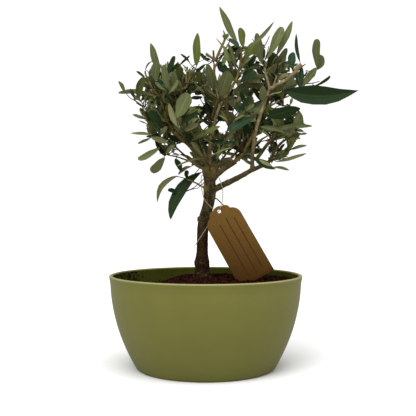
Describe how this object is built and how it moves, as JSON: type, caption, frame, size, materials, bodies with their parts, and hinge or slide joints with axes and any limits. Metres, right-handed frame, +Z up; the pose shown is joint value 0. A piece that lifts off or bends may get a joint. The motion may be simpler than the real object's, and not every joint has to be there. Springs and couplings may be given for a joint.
{
  "type": "olive bonsai",
  "caption": "Small olive tree grown as a bonsai in a round olive-green bowl planter of soil, with a plain brown card tag hung on twine.",
  "frame": {"origin": "middle of the pot's flat underside", "axes": "+Z up, +X to the right and +Y to the back as the tree is seen from its front"},
  "size_m": [0.3048, 0.24, 0.4473],
  "materials": {
    "pot": "satin",
    "soil": "matte",
    "bark": "matte",
    "foliage": "satin",
    "card": "matte",
    "twine": "matte"
  },
  "bodies": {
    "root": {"bough_back": "bark", "bough_back_left": "bark", "bough_back_low": "bark", "bough_back_right": "bark", "bough_centre": "bark", "bough_centre_left": "bark", "bough_centre_right": "bark", "bough_centre_tip": "bark", "bough_front": "bark", "bough_front_left": "bark", "bough_front_right": "bark", "bough_left_hang": "bark", "bough_left_high": "bark", "bough_left_low": "bark", "bough_left_under": "bark", "bough_left_upper": "bark", "bough_mid_right": "bark", "bough_right_back": "bark", "bough_right_low": "bark", "bough_right_middle": "bark", "bough_right_outer": "bark", "bough_right_rise": "bark", "bough_right_spur": "bark", "bough_right_stub": "bark", "bough_right_top": "bark", "bough_sucker": "bark", "foliage_back": "foliage", "foliage_back_left": "foliage", "foliage_back_low": "foliage", "foliage_back_right": "foliage", "foliage_front": "foliage", "foliage_front_left": "foliage", "foliage_front_right": "foliage", "foliage_left_hang": "foliage", "foliage_left_high": "foliage", "foliage_left_outer": "foliage", "foliage_left_under": "foliage", "foliage_left_upper": "foliage", "foliage_mid_right": "foliage", "foliage_right_back": "foliage", "foliage_right_leaf": "foliage", "foliage_right_low": "foliage", "foliage_right_middle": "foliage", "foliage_right_outer": "foliage", "foliage_right_stub": "foliage", "foliage_right_top": "foliage", "foliage_sucker": "foliage", "foliage_top": "foliage", "foliage_top_left": "foliage", "foliage_top_middle": "foliage", "pot": "pot", "soil": "soil", "tag": "card", "trunk": "bark", "twine": "twine"}
  },
  "joints": []
}
